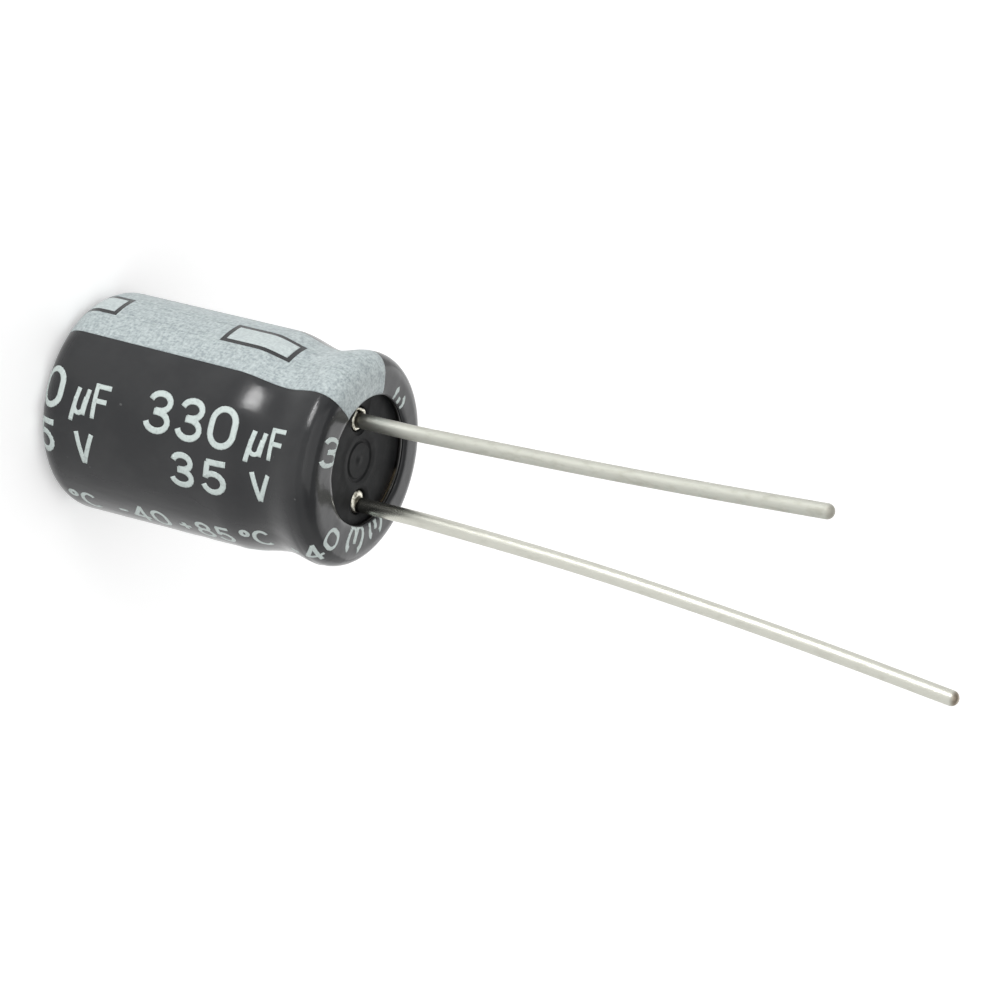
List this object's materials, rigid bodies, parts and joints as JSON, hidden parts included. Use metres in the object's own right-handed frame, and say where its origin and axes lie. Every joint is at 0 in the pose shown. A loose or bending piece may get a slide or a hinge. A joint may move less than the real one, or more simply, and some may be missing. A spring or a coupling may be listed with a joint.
{
  "type": "electrolytic capacitor",
  "caption": "Radial aluminium electrolytic capacitor: sleeved round can with a rolled bead, rubber end seal, wound foil inside and wire leads of unequal length.",
  "frame": {"origin": "centre of the resting face, which is the sleeve's rim round the can's vented end", "axes": "+Z along the body from the vented end to the leads; +X from the body's axis to the long anode lead, so the short cathode lead and the stripe are on -X"},
  "size_m": [0.0082, 0.0082, 0.0359],
  "materials": {
    "sleeve": "satin shrink film, dark grey",
    "stripe_ink": "silver-grey printed ink, finely mottled",
    "can_metal": "drawn aluminium, satin",
    "seal_rubber": "matt moulded rubber",
    "tab_metal": "bright aluminium with a rough weld",
    "lead_metal": "bright tin plate on copper-clad steel",
    "anode_foil": "etched and formed, dull grey",
    "cathode_foil": "etched, light grey",
    "paper": "soaked kraft paper",
    "tape": "clear brown adhesive tape"
  },
  "bodies": {
    "root": {"sleeve": "sleeve", "polarity_stripe": "stripe_ink", "can": "can_metal", "end_seal": "seal_rubber", "anode_tab": "tab_metal", "cathode_tab": "tab_metal", "anode_lead": "lead_metal", "cathode_lead": "lead_metal", "anode_foil": "anode_foil", "cathode_foil": "cathode_foil", "inner_paper": "paper", "outer_paper": "paper", "fixing_tape": "tape"}
  },
  "joints": []
}
